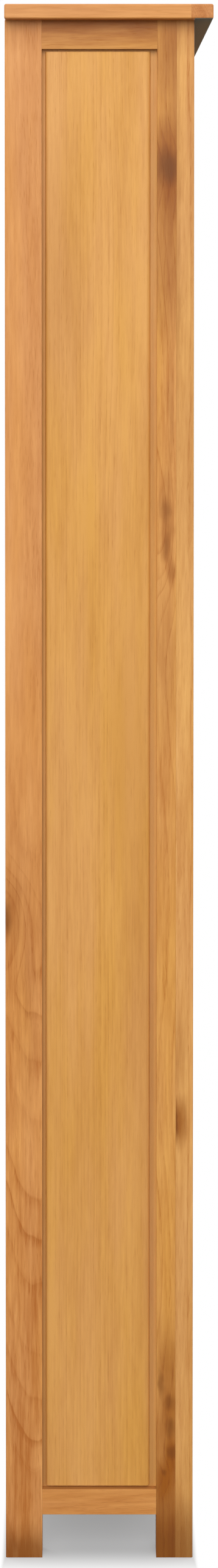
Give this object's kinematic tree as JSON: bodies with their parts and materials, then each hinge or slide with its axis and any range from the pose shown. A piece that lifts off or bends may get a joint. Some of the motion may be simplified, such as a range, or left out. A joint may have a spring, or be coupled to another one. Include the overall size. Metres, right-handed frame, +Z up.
{
  "type": "pantry cabinet",
  "caption": "Tall shallow oak pantry cabinet with frame-and-panel sides, two hinged fielded doors, shelves inside and a thin overhanging top board.",
  "frame": {"origin": "on the floor, under the middle of the top board", "axes": "+X to the right seen from the front, +Y towards the back, +Z up"},
  "size_m": [0.9, 0.225, 1.7],
  "materials": {
    "oak_frame": "satin lacquered oak",
    "oak_panel": "satin lacquered oak, straight grain",
    "oak_top": "satin lacquered oak, edge glued",
    "oak_inside": "satin lacquered oak",
    "oak_knob": "turned and lacquered oak",
    "hinge_brass": "satin brass",
    "screw_brass": "bright brass",
    "fitting_steel": "nickel-plated steel",
    "catch_plastic": "moulded brown plastic"
  },
  "bodies": {
    "carcass": {"back_panel": "oak_inside", "back_top_rail": "oak_frame", "bottom_board": "oak_inside", "face_bottom_rail": "oak_frame", "face_left_stile": "oak_frame", "face_right_stile": "oak_frame", "face_top_rail": "oak_frame", "fixed_shelf": "oak_inside", "floor_cleats": "oak_inside", "frame_leaf_screws": "screw_brass", "left_catch": "catch_plastic", "left_hinge_frame_leaves": "hinge_brass", "left_hinge_pins": "hinge_brass", "left_side_back_stile": "oak_frame", "left_side_bottom_rail": "oak_frame", "left_side_front_stile": "oak_frame", "left_side_panel": "oak_panel", "left_side_top_rail": "oak_frame", "loose_shelf_1": "oak_inside", "loose_shelf_2": "oak_inside", "loose_shelf_3": "oak_inside", "loose_shelf_4": "oak_inside", "right_catch": "catch_plastic", "right_hinge_frame_leaves": "hinge_brass", "right_hinge_pins": "hinge_brass", "right_side_back_stile": "oak_frame", "right_side_bottom_rail": "oak_frame", "right_side_front_stile": "oak_frame", "right_side_panel": "oak_panel", "right_side_top_rail": "oak_frame", "shelf_pins": "fitting_steel", "top_board": "oak_top", "top_cleats": "oak_inside", "top_screws": "screw_brass"},
    "left_door": {"left_door_bottom_rail": "oak_frame", "left_door_hinge_stile": "oak_frame", "left_door_leaf_screws": "screw_brass", "left_door_lower_panel": "oak_panel", "left_door_meeting_stile": "oak_frame", "left_door_middle_rail": "oak_frame", "left_door_top_rail": "oak_frame", "left_door_upper_panel": "oak_panel", "left_hinge_door_leaves": "hinge_brass", "left_knob": "oak_knob", "left_knob_screw": "fitting_steel", "left_strike_plate": "fitting_steel"},
    "right_door": {"right_door_bottom_rail": "oak_frame", "right_door_hinge_stile": "oak_frame", "right_door_leaf_screws": "screw_brass", "right_door_lower_panel": "oak_panel", "right_door_meeting_stile": "oak_frame", "right_door_middle_rail": "oak_frame", "right_door_top_rail": "oak_frame", "right_door_upper_panel": "oak_panel", "right_hinge_door_leaves": "hinge_brass", "right_knob": "oak_knob", "right_knob_screw": "fitting_steel", "right_strike_plate": "fitting_steel"}
  },
  "joints": [
    {"name": "left_door_hinge", "type": "hinge", "parent": "carcass", "child": "left_door", "pos_m": [-0.394, -0.0885, 0], "axis": [0, 0, -1], "range_deg": [0, 100]},
    {"name": "right_door_hinge", "type": "hinge", "parent": "carcass", "child": "right_door", "pos_m": [0.394, -0.0885, 0], "axis": [0, 0, 1], "range_deg": [0, 100]}
  ]
}
